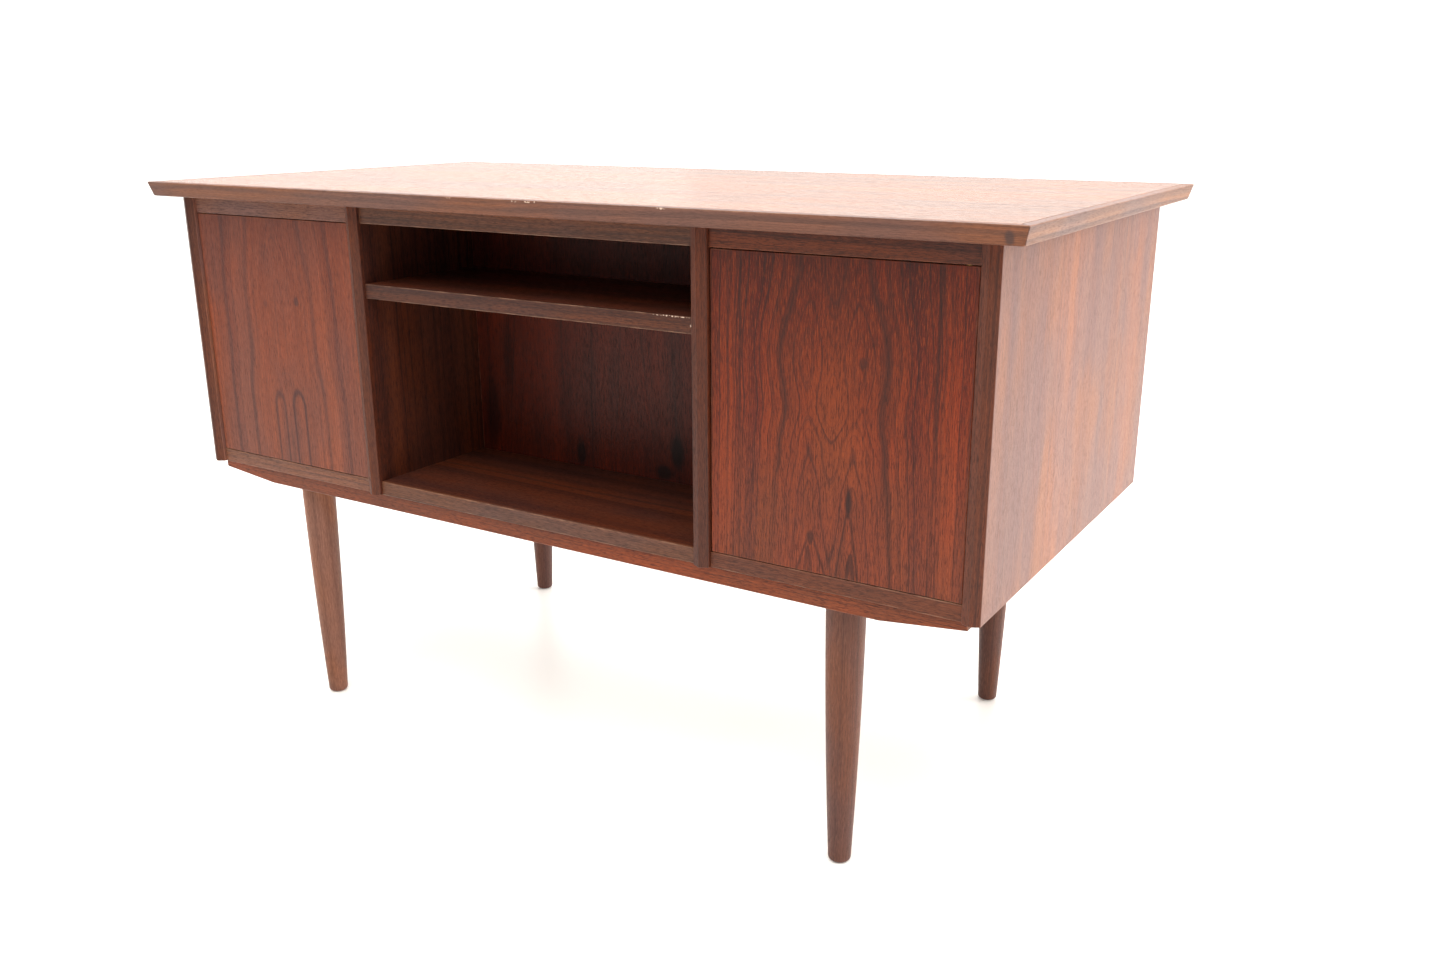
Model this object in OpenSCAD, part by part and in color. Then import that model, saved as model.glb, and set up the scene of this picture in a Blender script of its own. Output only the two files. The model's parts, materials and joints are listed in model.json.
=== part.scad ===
// Free-standing teak desk: open bookcase between two doors on the visitor's side,
// knee-hole and two stacks of three drawers on the sitter's side, four turned legs.
// X runs along the width, -Y is the visitor's side, Z is up, the floor is Z = 0.

/* [Overall] */
// Width over the top board
overall_w = 1206; // [1150:1:1300]
// Depth over the top board
overall_d = 620; // [600:1:700]
// Height from the floor to the top surface
overall_h = 720; // [700:1:760]

/* [Top board] */
// Thickness of the top board
top_t = 18.5; // [16:0.5:24]
// How far the edge leans in from its upper arris to its lower one
top_undercut = 5; // [2:0.5:8]
// Width of the solid lipping around the top
lipping_w = 12; // [10:1:20]

/* [Case] */
// Width over the two end panels
case_w = 1142; // [1100:1:1145]
// Height of the end panels
case_h = 367; // [350:1:380]
// Depth of the panels between the shoulders of their noses
case_d = 562; // [550:1:580]
// Thickness of the end panels and dividers
panel_t = 20; // [18:1:24]
// How far the pointed nose of a panel stands proud of its shoulders
nose_d = 5.5; // [3:0.5:8]
// Clear width of the open bookcase
bookcase_w = 482; // [440:1:520]
// How far doors, rails, floors and drawers sit behind the shoulders
board_inset = 3.5; // [2:0.5:6]
// Thickness of the floors
floor_t = 18; // [16:1:22]
// Height of the rails under the top
rail_h = 22; // [18:1:30]
// Thickness of those rails
rail_t = 20; // [18:1:24]
// Distance from the front boards' faces to the back of the bookcase
bookcase_depth = 193.5; // [180:0.5:210]
// Thickness of the bookcase back and the partitions
back_t = 12; // [9:1:15]

/* [Shelf] */
// Height of the shelf's upper face above the bookcase floor
shelf_rise = 254; // [180:1:280]
// Thickness of the shelf
shelf_t = 18; // [15:1:20]
// Radius of a shelf pin
shelf_pin_r = 2.5; // [2:0.25:3]

/* [Doors] */
// Thickness of a door
door_t = 18; // [16:1:20]
// Gap beside a door, where its hinge corner swings through
door_gap = 1.5; // [1.5:0.25:3]
// Gap over and under a door
door_end_gap = 0.75; // [0.5:0.25:3]
// Distance from the hinge edge to the pivot axis
pivot_edge = 12; // [11:0.5:14]
// Distance from the door's face to the pivot axis
pivot_face = 5.5; // [5:0.25:6]
// Radius of a pivot pin
pivot_r = 3; // [2.5:0.25:3.5]
// Length of a pivot pin
pivot_len = 14; // [10:1:16]

/* [Drawers] */
// Drawers in each stack
drawers = 3; // [3:1:3]
// Gap over and under a drawer front
drawer_gap = 2; // [1.5:0.25:3]
// Gap beside a drawer
side_gap = 1.5; // [1:0.25:2]
// Length of the drawer sides
drawer_len = 320; // [280:1:325]
// Height of the drawer sides
drawer_side_h = 88; // [70:1:92]
// Thickness of the drawer sides and back
drawer_side_t = 12; // [10:1:14]
// Thickness of the drawer bottom
drawer_bottom_t = 4; // [3:0.5:6]
// Dovetails at each corner
tails = 3; // [2:1:4]
// Length of the carved pull
pull_len = 140; // [80:1:220]
// How far the pull stands out
pull_out = 13; // [10:1:16]
// Height of the pull from its upper edge to the end of its hollow
pull_drop = 24; // [18:1:30]

/* [Base] */
// Thickness of the rails that hold the legs
base_rail_t = 20; // [18:1:28]
// Width of those rails
base_rail_w = 66.4; // [60:0.2:80]
// Half length of the front base rail
base_rail_half = 556; // [540:1:560]
// Thickness left at the tapered ends
base_rail_tip = 10; // [6:1:16]
// Distance of the legs from the middle, along the width
leg_x = 408; // [380:1:430]
// Distance of the front legs from the middle, along the depth
front_leg_y = 240.8; // [220:0.1:245]
// Distance of the back legs from the middle, along the depth
back_leg_y = 227.7; // [220:0.1:240]
// Radius at the top of a leg
leg_top_r = 22; // [20:0.5:25]
// Radius at the foot of a leg
leg_foot_r = 12.8; // [10:0.1:16]
// How far the leg's outline swells out from a straight taper
leg_swell = 1.4; // [0:0.1:3]
// Radius of the rounded foot
foot_round = 5; // [2:0.5:8]

/* [Hidden] */
$fn = 48;

// Colours
teak = "#8a4f36";
dark_teak = "#6b3c2b";
edge_teak = "#73503f";
beech = "#c9a57a";
plywood = "#b98f63";
brass = "#b5923c";
steel = "#9a9a9c";

// Levels above the floor
top_z = overall_h - top_t;
case_z = top_z - case_h;
floor_z = case_z + floor_t;
rail_z = top_z - rail_h;
leg_h = case_z - base_rail_t;

// Places along the width, for the right half
end_in = case_w / 2 - panel_t;
divider_in = bookcase_w / 2;
divider_out = divider_in + panel_t;

// Places along the depth
shoulder_y = case_d / 2;
face_y = shoulder_y - board_inset;
back_y = bookcase_depth - face_y;
stack_y = back_y + back_t;

// Joinery
slack = 0.05;
over = 1;
screw_len = 34;
screw_r = 2;
screw_head_r = 4;
screw_head_h = 2.5;
screw_slot = 0.8;
stud_r = 5;
stud_in_leg = 35;
insert_r = 8;
insert_h = 18;
pin_in_panel = 10;
pin_out = 8;
dowel_r = 4;
thin_dowel_r = 3;
dowel_in_panel = 10;
dowel_in_board = 20;
dowel_in_top = 10;
floor_dowel_y = [-200, 0, 200];
bookcase_dowel_y = [-240, -120];
top_dowel_y = [-200, 0, 200];
back_dowel_z = [420, 640];
partition_dowel_z = [460, 600];
shelf_play = 0.5;
shelf_pin_y = [-255, -110];

// Doors: hinge edge, pivot axis and fittings, for the right door
door_z0 = floor_z + door_end_gap;
door_z1 = rail_z - door_end_gap;
door_x0 = divider_out + door_gap;
door_x1 = end_in - door_gap;
pivot_x = door_x1 - pivot_edge;
pivot_y = pivot_face - face_y;
plate_t = 2;
plate_w = 8;
plate_in = 18;
plate_out = 11;
collar_r = 4.5;
collar_h = door_end_gap - 0.2;
pivot_bore_extra = 0.2;

// Push latches, for the right door
latch_w = 18;
latch_h = 14;
latch_len = 40;
latch_drop = 33;
latch_setback = 6.5;
latch_x = divider_out + latch_w / 2;
latch_z = rail_z - latch_drop;
latch_y0 = door_t - face_y + latch_setback;
plunger_r = 4;
plunger_len = 34;
plunger_play = 0.5;
plunger_chamfer = 1;
strike_w = 12;
strike_t = 1.5;

// Drawers, for the right stack
front_t = 18;
front_h = (top_z - floor_z - (drawers + 1) * drawer_gap) / drawers;
stack_x0 = divider_out + side_gap;
stack_x1 = end_in - side_gap;
box_y1 = face_y - front_t;
box_y0 = box_y1 - drawer_len;
side_lift = 10;
groove_d = 6;
groove_stop = 20;
runner_tip_gap = 0.5;
runner_setback = 5;
runner_w = side_gap + groove_d - runner_tip_gap;
runner_h = 14;
runner_play = 0.3;
runner_len = 285;
bottom_lift = 8;
bottom_groove = 5;
bottom_play = 0.3;
back_lift = bottom_lift + drawer_bottom_t + bottom_play;
tail_share = 0.6;
tail_splay = 2;
tail_len = drawer_side_t;
pull_lip_r = 3.5;
pull_fade = 5;
pull_steps = 10;

// Base
taper_x = 460;
back_rail_half = base_rail_half - leg_x;
back_taper = taper_x - leg_x;
front_screw_x = [-450, -350, -120, 120, 350, 450];
back_screw_x = [-450, -350, 350, 450];
top_screw_x = [-480, -300, -150, 150, 300, 480];
leg_steps = 14;
foot_steps = 5;

// A board between two corners
module board(low, high) {
    translate(low) cube(high - low);
}

// Copies its children to the left half when side is -1
module on_side(side) {
    mirror([side < 0 ? 1 : 0, 0, 0]) children();
}

// Height of the underside of a drawer front; level 0 is the lowest drawer
function drawer_z(level) = floor_z + drawer_gap + level * (front_h + drawer_gap);

// Half width of the leg at a height, a straight taper with a slight swell
function leg_r(z) = let (u = z / leg_h)
    leg_foot_r + (leg_top_r - leg_foot_r) * u + 4 * leg_swell * u * (1 - u);

// Places of the four legs
function leg_places() = [
    [-leg_x, -front_leg_y], [leg_x, -front_leg_y], [-leg_x, back_leg_y], [leg_x, back_leg_y]
];

// Places and heights of all screw heads
function screw_places() = [
    for (x = front_screw_x) [x, -front_leg_y, leg_h],
    for (x = back_screw_x) [x, back_leg_y, leg_h],
    for (x = top_screw_x) [x, rail_t / 2 - face_y, rail_z]
];

// ---- Top board ----

module top_panel() {
    x = overall_w / 2 - lipping_w;
    y = overall_d / 2 - lipping_w;
    color(teak) difference() {
        board([-x, -y, top_z], [x, y, overall_h]);
        screw_holes();
        dowel_holes();
    }
}

// Lipping along one edge of a rectangle: span is the edge's half length, out its distance
module lipping(span, out) {
    intersection() {
        translate([0, 0, top_z]) linear_extrude(top_t) polygon([
            [-span, -out], [span, -out],
            [span - lipping_w, lipping_w - out], [lipping_w - span, lipping_w - out]
        ]);
        rotate([90, 0, 90]) translate([0, 0, -span]) linear_extrude(2 * span) polygon([
            [-out, overall_h], [top_undercut - out, top_z],
            [lipping_w - out, top_z], [lipping_w - out, overall_h]
        ]);
    }
}

module top_front_lipping() {
    color(edge_teak) lipping(overall_w / 2, overall_d / 2);
}

module top_back_lipping() {
    color(edge_teak) rotate([0, 0, 180]) lipping(overall_w / 2, overall_d / 2);
}

module top_left_lipping() {
    color(edge_teak) rotate([0, 0, -90]) lipping(overall_d / 2, overall_w / 2);
}

module top_right_lipping() {
    color(edge_teak) rotate([0, 0, 90]) lipping(overall_d / 2, overall_w / 2);
}

// ---- Case ----

// Upright panel with a pointed nose along its front and back edges
module nosed_panel(x) {
    translate([x, 0, case_z]) linear_extrude(case_h) polygon([
        [0, -shoulder_y], [panel_t / 2, -shoulder_y - nose_d], [panel_t, -shoulder_y],
        [panel_t, shoulder_y], [panel_t / 2, shoulder_y + nose_d], [0, shoulder_y]
    ]);
}

module end_panel(side) {
    color(teak) difference() {
        on_side(side) nosed_panel(end_in);
        dowel_holes();
    }
}

module divider(side) {
    color(teak) difference() {
        on_side(side) difference() {
            nosed_panel(divider_in);
            for (y = shelf_pin_y) shelf_pin(y, slack);
        }
        dowel_holes();
    }
}

module left_end_panel() {
    end_panel(-1);
}

module right_end_panel() {
    end_panel(1);
}

module left_divider() {
    divider(-1);
}

module right_divider() {
    divider(1);
}

// Floor of a door compartment and drawer stack
module side_floor(side) {
    color(teak) difference() {
        on_side(side) difference() {
            board([divider_out, -face_y, case_z], [end_in, face_y, floor_z]);
            pivot_plate(floor_z - plate_t);
        }
        screw_holes();
        dowel_holes();
    }
}

module left_floor() {
    side_floor(-1);
}

module right_floor() {
    side_floor(1);
}

module bookcase_floor() {
    color(dark_teak) difference() {
        board([-divider_in, -face_y, case_z], [divider_in, back_y, floor_z]);
        screw_holes();
        dowel_holes();
    }
}

// Rail under the top, over a door
module side_top_rail(side) {
    color(edge_teak) difference() {
        on_side(side) difference() {
            board([divider_out, -face_y, rail_z], [end_in, rail_t - face_y, top_z]);
            pivot_plate(rail_z);
        }
        screw_holes();
        dowel_holes();
    }
}

module left_top_rail() {
    side_top_rail(-1);
}

module right_top_rail() {
    side_top_rail(1);
}

module bookcase_top_rail() {
    color(edge_teak) difference() {
        board([-divider_in, -face_y, rail_z], [divider_in, rail_t - face_y, top_z]);
        screw_holes();
        dowel_holes();
    }
}

module bookcase_back() {
    color(dark_teak) difference() {
        board([-divider_in, back_y, case_z], [divider_in, stack_y, top_z]);
        dowel_holes();
    }
}

// Partition between a door compartment and the drawers behind it
module partition(side) {
    color(dark_teak) difference() {
        on_side(side) board([divider_out, back_y, floor_z], [end_in, stack_y, top_z]);
        dowel_holes();
    }
}

module left_partition() {
    partition(-1);
}

module right_partition() {
    partition(1);
}

// Dowels of the right half that lie along the width: [start, depth, height, radius]
function cross_dowels() = let (
    from_divider = divider_out - dowel_in_panel,
    to_end = end_in - dowel_in_board,
    to_divider = divider_in - dowel_in_board,
    floor_mid = case_z + floor_t / 2,
    rail_y = rail_t / 2 - face_y,
    rail_mid = rail_z + rail_h / 2,
    back_mid = back_y + back_t / 2
) [
    for (x = [from_divider, to_end], y = floor_dowel_y) [x, y, floor_mid, dowel_r],
    for (y = bookcase_dowel_y) [to_divider, y, floor_mid, dowel_r],
    for (x = [from_divider, to_end, to_divider]) [x, rail_y, rail_mid, dowel_r],
    for (x = [from_divider, to_end], z = partition_dowel_z) [x, back_mid, z, thin_dowel_r],
    for (z = back_dowel_z) [to_divider, back_mid, z, thin_dowel_r]
];

// All dowels; extra widens and lengthens them into their holes
module dowel_set(extra) {
    for (side = [-1, 1]) on_side(side) {
        for (d = cross_dowels()) translate([d[0] - extra, d[1], d[2]]) rotate([0, 90, 0])
            cylinder(r = d[3] + extra, h = dowel_in_panel + dowel_in_board + 2 * extra);
        for (x = [divider_in + panel_t / 2, end_in + panel_t / 2], y = top_dowel_y)
            translate([x, y, top_z - dowel_in_board - extra])
                cylinder(r = dowel_r + extra, h = dowel_in_board + dowel_in_top + 2 * extra);
    }
}

module dowels() {
    color(beech) dowel_set(0);
}

module dowel_holes() {
    dowel_set(slack);
}

// ---- Shelf ----

module shelf() {
    z = floor_z + shelf_rise;
    x = divider_in - shelf_play;
    color(dark_teak) board([-x, -face_y, z - shelf_t], [x, back_y, z]);
}

// One pin under the right end of the shelf, let into the divider
module shelf_pin(y, extra) {
    z = floor_z + shelf_rise - shelf_t - shelf_pin_r;
    translate([divider_in - pin_out, y, z]) rotate([0, 90, 0])
        cylinder(r = shelf_pin_r + extra, h = pin_out + pin_in_panel);
}

module shelf_pins() {
    color(brass) for (side = [-1, 1], y = shelf_pin_y) on_side(side) shelf_pin(y, 0);
}

// ---- Base ----

// Flat rail with ends that thin out; half is its half length, taper where the taper starts
module base_rail(x, y, half, taper) {
    translate([x, y + base_rail_w / 2, leg_h]) rotate([90, 0, 0]) linear_extrude(base_rail_w) polygon([
        [-taper, 0], [taper, 0], [half, base_rail_t - base_rail_tip],
        [half, base_rail_t], [-half, base_rail_t], [-half, base_rail_t - base_rail_tip]
    ]);
}

module front_base_rail() {
    color(teak) difference() {
        base_rail(0, -front_leg_y, base_rail_half, taper_x);
        insert_holes();
        screw_holes();
    }
}

module back_base_rail(side) {
    color(teak) difference() {
        base_rail(side * leg_x, back_leg_y, back_rail_half, back_taper);
        insert_holes();
        screw_holes();
    }
}

module back_left_base_rail() {
    back_base_rail(-1);
}

module back_right_base_rail() {
    back_base_rail(1);
}

// Turned leg with a swelling taper, a rounded foot and a hole for its stud
module leg(place) {
    foot = [for (i = [0:foot_steps]) let (a = 90 * i / foot_steps)
        [leg_r(foot_round) - foot_round * (1 - sin(a)), foot_round * (1 - cos(a))]];
    shank = [for (i = [1:leg_steps]) let (z = foot_round + (leg_h - foot_round) * i / leg_steps)
        [leg_r(z), z]];
    color(teak) translate(place) difference() {
        rotate_extrude() polygon(concat([[0, 0]], foot, shank, [[0, leg_h]]));
        translate([0, 0, leg_h - stud_in_leg]) cylinder(r = stud_r + slack, h = stud_in_leg + over);
    }
}

module front_left_leg() {
    leg(leg_places()[0]);
}

module front_right_leg() {
    leg(leg_places()[1]);
}

module back_left_leg() {
    leg(leg_places()[2]);
}

module back_right_leg() {
    leg(leg_places()[3]);
}

// Steel studs that screw the legs to the inserts
module leg_studs() {
    color(steel) for (place = leg_places()) translate([place.x, place.y, leg_h - stud_in_leg])
        cylinder(r = stud_r, h = stud_in_leg + insert_h);
}

module leg_inserts() {
    color(brass) for (place = leg_places()) translate([place.x, place.y, leg_h]) difference() {
        cylinder(r = insert_r, h = insert_h);
        translate([0, 0, -over]) cylinder(r = stud_r + slack, h = insert_h + 2 * over);
    }
}

module insert_holes() {
    for (place = leg_places()) translate([place.x, place.y, leg_h - over])
        cylinder(r = insert_r + slack, h = insert_h + over);
}

// Countersunk screw pointing up, its head flush with the face at z = 0
module screw(extra) {
    cylinder(r1 = screw_head_r + extra, r2 = screw_r + extra, h = screw_head_h);
    cylinder(r = screw_r + extra, h = screw_len + extra);
}

module screw_holes() {
    for (place = screw_places()) translate(place) screw(slack);
}

module wood_screws() {
    color(steel) for (place = screw_places()) translate(place) difference() {
        screw(0);
        translate([-screw_head_r, -screw_slot / 2, -over])
            cube([2 * screw_head_r, screw_slot, over + screw_slot]);
    }
}

// ---- Doors ----

// Plate let into a face under or over the right door
module pivot_plate(z) {
    board([pivot_x - plate_in, pivot_y - plate_w / 2, z],
          [pivot_x + plate_out, pivot_y + plate_w / 2, z + plate_t]);
}

// Plates with a collared pin: at each door one stands on the floor and one hangs from the rail
module case_pivots() {
    color(brass) for (side = [-1, 1]) on_side(side) {
        pivot_plate(floor_z - plate_t);
        translate([pivot_x, pivot_y, floor_z]) {
            cylinder(r = collar_r, h = collar_h);
            cylinder(r = pivot_r, h = pivot_len);
        }
        pivot_plate(rail_z);
        translate([pivot_x, pivot_y, rail_z - collar_h]) cylinder(r = collar_r, h = collar_h);
        translate([pivot_x, pivot_y, rail_z - pivot_len]) cylinder(r = pivot_r, h = pivot_len);
    }
}

// Plates with the bearing holes, let into the edges of the door
module door_pivots(side) {
    color(brass) on_side(side) for (z = [door_z0, door_z1 - plate_t]) difference() {
        pivot_plate(z);
        translate([pivot_x, pivot_y, z - over])
            cylinder(r = pivot_r + slack, h = plate_t + 2 * over);
    }
}

module left_door_pivots() {
    door_pivots(-1);
}

module right_door_pivots() {
    door_pivots(1);
}

module door(side) {
    color(teak) on_side(side) difference() {
        board([door_x0, -face_y, door_z0], [door_x1, door_t - face_y, door_z1]);
        pivot_plate(door_z0);
        pivot_plate(door_z1 - plate_t);
        for (z = [door_z0, door_z1 - pivot_len]) translate([pivot_x, pivot_y, z])
            cylinder(r = pivot_r + pivot_bore_extra, h = pivot_len);
        strike();
    }
}

module left_door() {
    door(-1);
}

module right_door() {
    door(1);
}

// Steel plate let into the back of the right door, facing the plunger
module strike() {
    board([latch_x - strike_w / 2, door_t - face_y - strike_t, latch_z - strike_w / 2],
          [latch_x + strike_w / 2, door_t - face_y, latch_z + strike_w / 2]);
}

module left_door_strike() {
    color(steel) on_side(-1) strike();
}

module right_door_strike() {
    color(steel) on_side(1) strike();
}

// Housing on the divider with the plunger's bore
module latch_body(side) {
    on_side(side) difference() {
        board([divider_out, latch_y0, latch_z - latch_h / 2],
              [divider_out + latch_w, latch_y0 + latch_len, latch_z + latch_h / 2]);
        translate([latch_x, latch_y0 - over, latch_z]) rotate([-90, 0, 0])
            cylinder(r = plunger_r + slack, h = plunger_len + 2 * over);
    }
}

module latch_bodies() {
    color(dark_teak) for (side = [-1, 1]) latch_body(side);
}

// Sprung plunger that pushes the door open
module latch_plunger(side) {
    color(steel) on_side(side) translate([latch_x, door_t - face_y + plunger_play, latch_z])
        rotate([-90, 0, 0]) {
            cylinder(r1 = plunger_r - plunger_chamfer, r2 = plunger_r, h = plunger_chamfer);
            translate([0, 0, plunger_chamfer])
                cylinder(r = plunger_r, h = plunger_len - plunger_chamfer);
        }
}

module left_latch_plunger() {
    latch_plunger(-1);
}

module right_latch_plunger() {
    latch_plunger(1);
}

// ---- Drawers ----

// Dovetails along a drawer side that starts at x, between two heights. They start at the depth y
// and point to the front (way 1) or to the back (way -1); extra makes them into their sockets
module tail_row(x, y, z0, z1, way, extra) {
    pitch = (z1 - z0) / tails;
    translate([x - extra, 0, 0]) rotate([90, 0, 90]) linear_extrude(drawer_side_t + 2 * extra)
        for (i = [0:tails - 1]) let (
            z = z0 + (i + 0.5) * pitch,
            root = pitch * tail_share / 2 + extra,
            tip = root + tail_splay,
            y0 = y - way * over,
            y1 = y + way * (tail_len + extra)
        ) polygon([[y0, z - root], [y, z - root], [y1, z - tip], [y1, z + tip], [y, z + root], [y0, z + root]]);
}

// Places of the two sides of a drawer along the width
function side_xs() = [stack_x0, stack_x1 - drawer_side_t];

// Height of the underside of a drawer's sides
function box_z(level) = drawer_z(level) + side_lift;

module front_tails(level, extra) {
    for (x = side_xs())
        tail_row(x, box_y1, box_z(level), box_z(level) + drawer_side_h, 1, extra);
}

module back_tails(level, extra) {
    for (x = side_xs()) tail_row(x, box_y0 + drawer_side_t,
                                 box_z(level) + back_lift, box_z(level) + drawer_side_h, -1, extra);
}

// Carved pull: a rounded lip over a scooped hollow that fades out towards both ends
module pull(mid, z) {
    reach = pull_out - pull_lip_r;
    lip = [for (a = [90:-30:-90]) [reach + pull_lip_r * cos(a), pull_lip_r * (sin(a) - 1)]];
    scoop = [for (a = [15:15:90])
        [reach * (1 - sin(a)), (pull_drop - 2 * pull_lip_r) * cos(a) - pull_drop]];
    crest = [for (i = [-pull_steps:pull_steps]) let (u = sin(90 * i / pull_steps))
        [u * pull_len / 2, pull_out * (1 - pow(abs(u), pull_fade))]];
    translate([mid, face_y, z]) intersection() {
        translate([-pull_len / 2, 0, 0]) rotate([90, 0, 90]) linear_extrude(pull_len)
            polygon(concat([[-over, 0]], lip, scoop, [[-over, -pull_drop]]));
        translate([0, 0, -pull_drop]) linear_extrude(pull_drop)
            polygon(concat([[-pull_len / 2, -over]], crest, [[pull_len / 2, -over]]));
    }
}

// Front with the pull along its upper edge, sockets for the dovetails and a groove for the bottom
module drawer_front(side, level) {
    z = drawer_z(level);
    color(teak) on_side(side) difference() {
        union() {
            board([stack_x0, box_y1, z], [stack_x1, face_y, z + front_h]);
            pull((stack_x0 + stack_x1) / 2, z + front_h);
        }
        front_tails(level, slack);
        drawer_bottom_board(level, bottom_play / 2);
    }
}

// Thin bottom that slides in a groove; extra widens it into that groove
module drawer_bottom_board(level, extra) {
    z = box_z(level) + bottom_lift;
    inset = drawer_side_t - bottom_groove;
    board([stack_x0 + inset - extra, box_y0, z - extra],
          [stack_x1 - inset + extra, box_y1 + bottom_groove + extra, z + drawer_bottom_t + extra]);
}

module drawer_bottom(side, level) {
    color(plywood) on_side(side) drawer_bottom_board(level, 0);
}

// Two sides with dovetails and runner grooves, and a back between their tails, as three solids
module drawer_box(side, level) {
    z = box_z(level);
    z1 = z + drawer_side_h;
    back_y1 = box_y0 + drawer_side_t;
    color(beech) on_side(side) difference() {
        union() {
            for (x = side_xs()) {
                board([x, back_y1, z], [x + drawer_side_t, box_y1, z1]);
                board([x, box_y0, z], [x + drawer_side_t, back_y1, z + back_lift - slack]);
            }
            front_tails(level, 0);
            back_tails(level, 0);
            difference() {
                board([stack_x0, box_y0, z + back_lift], [stack_x1, back_y1 - slack, z1]);
                back_tails(level, slack);
            }
        }
        runner_grooves(level);
        drawer_bottom_board(level, bottom_play / 2);
    }
}

// Lower face of the runners at a level
function runner_z(level) = box_z(level) + (drawer_side_h - runner_h) / 2;

module runner_grooves(level) {
    z0 = runner_z(level) - runner_play;
    z1 = runner_z(level) + runner_h + runner_play;
    y1 = box_y1 - groove_stop;
    board([divider_out, box_y0 - over, z0], [stack_x0 + groove_d, y1, z1]);
    board([stack_x1 - groove_d, box_y0 - over, z0], [end_in, y1, z1]);
}

module drawer_runners() {
    y1 = box_y1 - groove_stop - runner_setback;
    color(beech) for (side = [-1, 1], level = [0:drawers - 1], x = [divider_out, end_in - runner_w])
        on_side(side) board([x, y1 - runner_len, runner_z(level)],
                            [x + runner_w, y1, runner_z(level) + runner_h]);
}

top_panel();
top_front_lipping();
top_back_lipping();
top_left_lipping();
top_right_lipping();
left_end_panel();
right_end_panel();
left_divider();
right_divider();
left_floor();
bookcase_floor();
right_floor();
left_top_rail();
bookcase_top_rail();
right_top_rail();
bookcase_back();
left_partition();
right_partition();
shelf();
shelf_pins();
front_base_rail();
back_left_base_rail();
back_right_base_rail();
front_left_leg();
front_right_leg();
back_left_leg();
back_right_leg();
leg_studs();
leg_inserts();
wood_screws();
dowels();
drawer_runners();
case_pivots();
latch_bodies();
left_door();
right_door();
left_door_pivots();
right_door_pivots();
left_door_strike();
right_door_strike();
left_latch_plunger();
right_latch_plunger();
drawer_front(-1, 2);  // left_top_drawer_front
drawer_front(-1, 1);  // left_middle_drawer_front
drawer_front(-1, 0);  // left_bottom_drawer_front
drawer_front(1, 2);  // right_top_drawer_front
drawer_front(1, 1);  // right_middle_drawer_front
drawer_front(1, 0);  // right_bottom_drawer_front
drawer_box(-1, 2);  // left_top_drawer_box
drawer_box(-1, 1);  // left_middle_drawer_box
drawer_box(-1, 0);  // left_bottom_drawer_box
drawer_box(1, 2);  // right_top_drawer_box
drawer_box(1, 1);  // right_middle_drawer_box
drawer_box(1, 0);  // right_bottom_drawer_box
drawer_bottom(-1, 2);  // left_top_drawer_bottom
drawer_bottom(-1, 1);  // left_middle_drawer_bottom
drawer_bottom(-1, 0);  // left_bottom_drawer_bottom
drawer_bottom(1, 2);  // right_top_drawer_bottom
drawer_bottom(1, 1);  // right_middle_drawer_bottom
drawer_bottom(1, 0);  // right_bottom_drawer_bottom
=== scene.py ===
"""The looks of a teak desk: a bookcase between two doors in front, drawers and a knee-hole behind.

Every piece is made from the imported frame's own nodes, in metres, in the row frame:
X runs along the width, -Y is the bookcase side, Z is up and the floor is Z = 0.
"""

import json
import math
from dataclasses import dataclass

import bmesh
import bpy
from mathutils import Matrix, Vector

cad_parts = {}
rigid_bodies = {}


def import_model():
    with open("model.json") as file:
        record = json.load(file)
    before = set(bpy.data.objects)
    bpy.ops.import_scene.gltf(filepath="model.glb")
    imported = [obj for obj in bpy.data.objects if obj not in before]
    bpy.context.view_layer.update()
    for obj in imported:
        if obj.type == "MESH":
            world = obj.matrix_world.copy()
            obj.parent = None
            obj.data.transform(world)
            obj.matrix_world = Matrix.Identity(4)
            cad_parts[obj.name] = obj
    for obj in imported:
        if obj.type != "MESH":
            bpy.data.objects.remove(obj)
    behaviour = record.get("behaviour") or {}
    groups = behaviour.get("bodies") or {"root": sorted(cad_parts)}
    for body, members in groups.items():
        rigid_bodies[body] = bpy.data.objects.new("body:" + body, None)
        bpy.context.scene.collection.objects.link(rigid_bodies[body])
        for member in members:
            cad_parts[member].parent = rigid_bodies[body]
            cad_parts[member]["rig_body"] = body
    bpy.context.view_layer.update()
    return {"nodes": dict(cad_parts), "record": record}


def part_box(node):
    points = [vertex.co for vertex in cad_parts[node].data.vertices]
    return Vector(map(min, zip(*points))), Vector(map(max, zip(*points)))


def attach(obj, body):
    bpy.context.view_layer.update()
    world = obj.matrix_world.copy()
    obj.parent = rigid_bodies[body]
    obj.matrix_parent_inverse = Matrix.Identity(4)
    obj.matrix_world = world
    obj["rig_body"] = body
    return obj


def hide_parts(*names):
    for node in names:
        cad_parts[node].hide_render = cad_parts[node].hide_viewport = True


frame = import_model()
MM = 0.001
X, Y, Z = 0, 1, 2
SIDES = ("left", "right")
LEVELS = ("top", "middle", "bottom")
SLOTS = {part["node"]: part["material_slot"] for part in frame["record"]["subparts"]}


# ---- Camera, floor and light ----

CAMERA_PLACE = (0.9496, -1.3570, 0.8230)
CAMERA_PITCH = 73.02
CAMERA_ROLL = -0.18
CAMERA_HEADING = 31.94
CAMERA_LENS = 31.24
SENSOR_WIDTH = 36


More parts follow.
